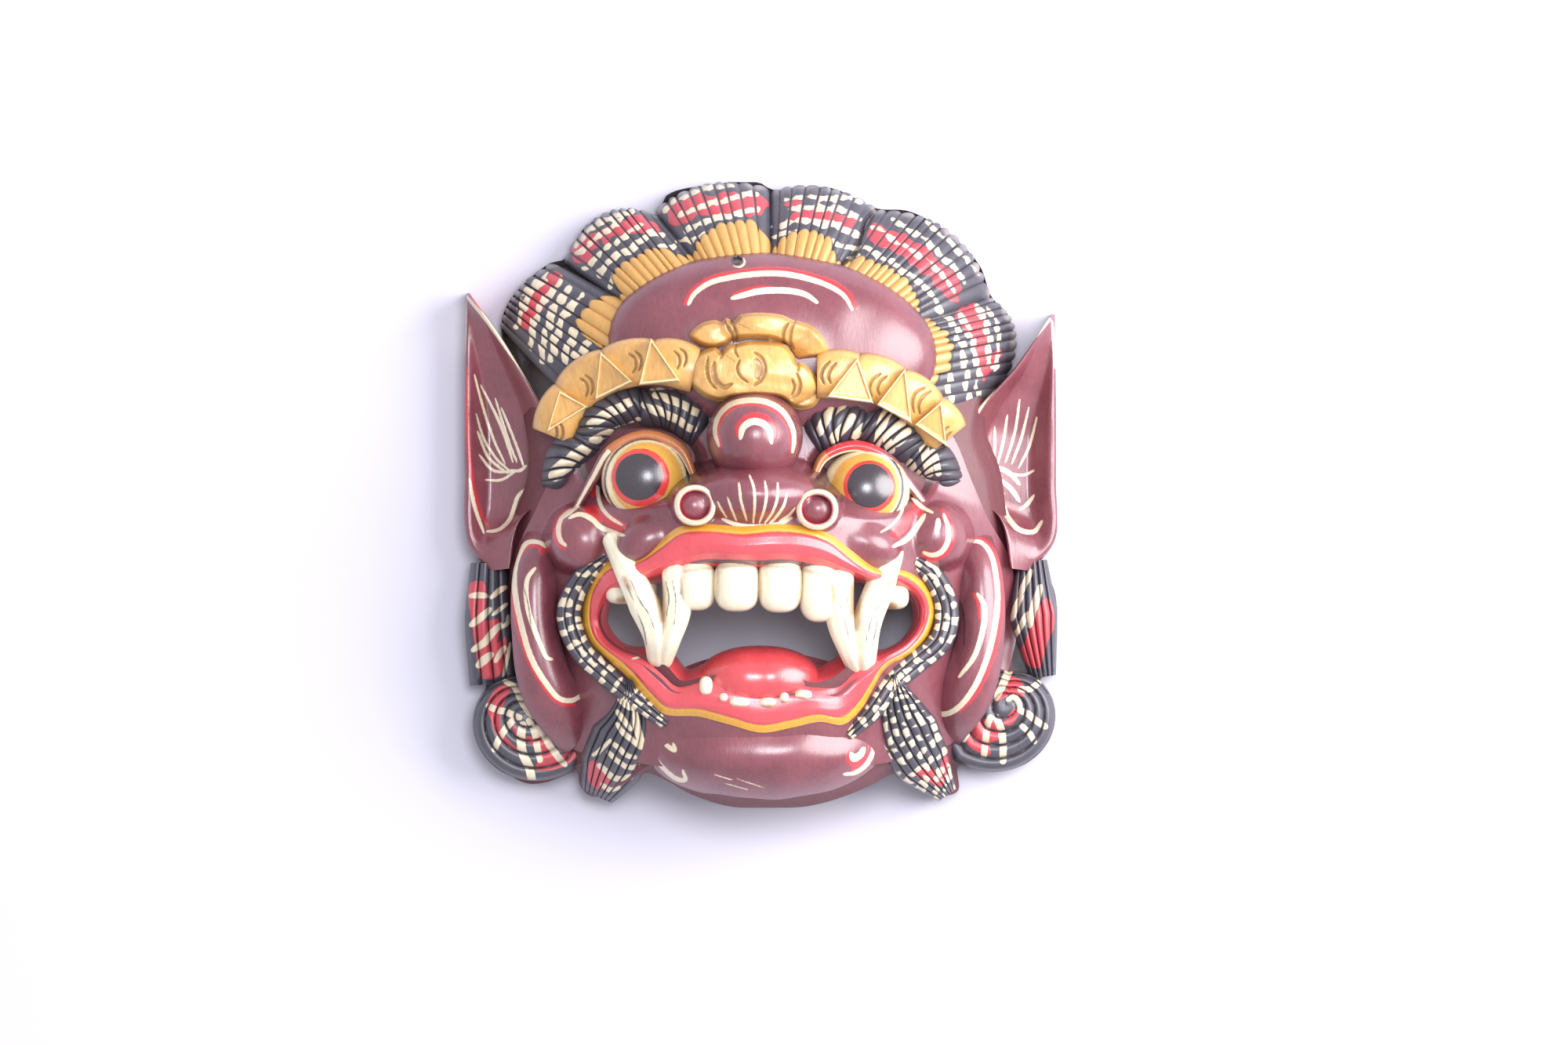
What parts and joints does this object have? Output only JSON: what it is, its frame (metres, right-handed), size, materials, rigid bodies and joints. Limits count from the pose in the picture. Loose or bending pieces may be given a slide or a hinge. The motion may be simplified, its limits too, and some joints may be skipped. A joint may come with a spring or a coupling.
{
  "type": "carved demon mask",
  "caption": "Painted wooden barong mask with a fluted hair crown, gold diadem, bulging eyes, open tusked mouth, pointed ears and a hollow back.",
  "frame": {"origin": "middle of the mask's outline, on the flat back rim that it lies on", "axes": "+Z out of the face, +Y towards the crown, +X towards the right of someone who looks at the face"},
  "size_m": [0.2266, 0.2388, 0.096],
  "materials": {
    "painted_wood": "semi-gloss paint, hand painted"
  },
  "bodies": {
    "root": {"mask": "painted_wood"}
  },
  "joints": []
}
